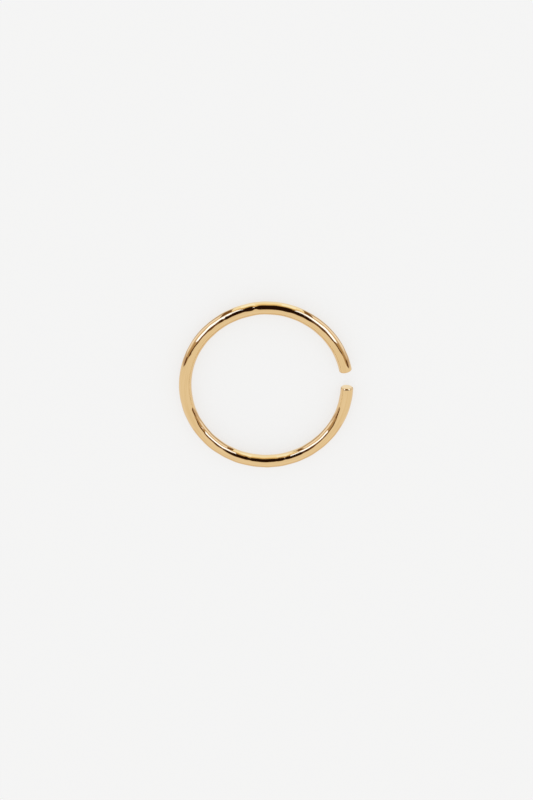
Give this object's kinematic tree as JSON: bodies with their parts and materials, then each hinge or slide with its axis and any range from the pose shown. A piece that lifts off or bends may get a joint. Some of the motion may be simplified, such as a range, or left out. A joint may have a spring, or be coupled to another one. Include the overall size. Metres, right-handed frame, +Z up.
{
  "type": "nose ring",
  "caption": "Plain open hoop nose ring: a circle of polished oval gold wire with a narrow gap between its two cut ends, lying flat.",
  "frame": {"origin": "on the surface that the hoop lies on, at the centre of the hoop", "axes": "+Z up, along the axis of the lying hoop; +X from the centre of the hoop to the middle of the gap between the wire's ends; +Y completes the right-handed frame"},
  "size_m": [0.0111, 0.0112, 0.001],
  "materials": {
    "polished_gold": "polished yellow gold with faint lines along the wire"
  },
  "bodies": {
    "root": {"hoop": "polished_gold"}
  },
  "joints": []
}
